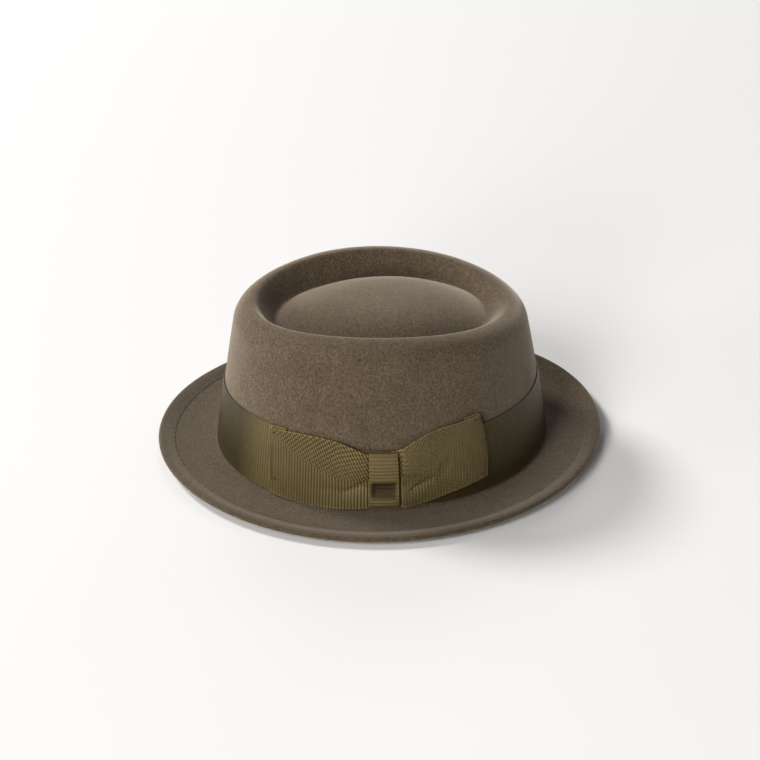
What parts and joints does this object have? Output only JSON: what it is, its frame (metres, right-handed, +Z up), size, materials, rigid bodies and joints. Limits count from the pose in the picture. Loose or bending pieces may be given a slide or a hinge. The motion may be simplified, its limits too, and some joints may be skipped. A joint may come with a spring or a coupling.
{
  "type": "pork pie hat",
  "caption": "Felt hat with a short crown whose top is sunk inside a rolled rim, a narrow turned-up brim, and a ribbon band tied off with a flat bow at one side.",
  "frame": {"origin": "on the surface that the hat rests on, below the middle of the brim's outline", "axes": "+Z up; the wearer faces -Y, the wearer's left is +X, and the bow is at +X"},
  "size_m": [0.2366, 0.2704, 0.097],
  "materials": {
    "felt": "mottled grey-brown wool felt with a short nap",
    "ribbon": "olive-brown grosgrain ribbon with fine cross ribs"
  },
  "bodies": {
    "root": {"felt_body": "felt", "hat_band": "ribbon", "bow_ribbon": "ribbon", "bow_knot": "ribbon"}
  },
  "joints": []
}
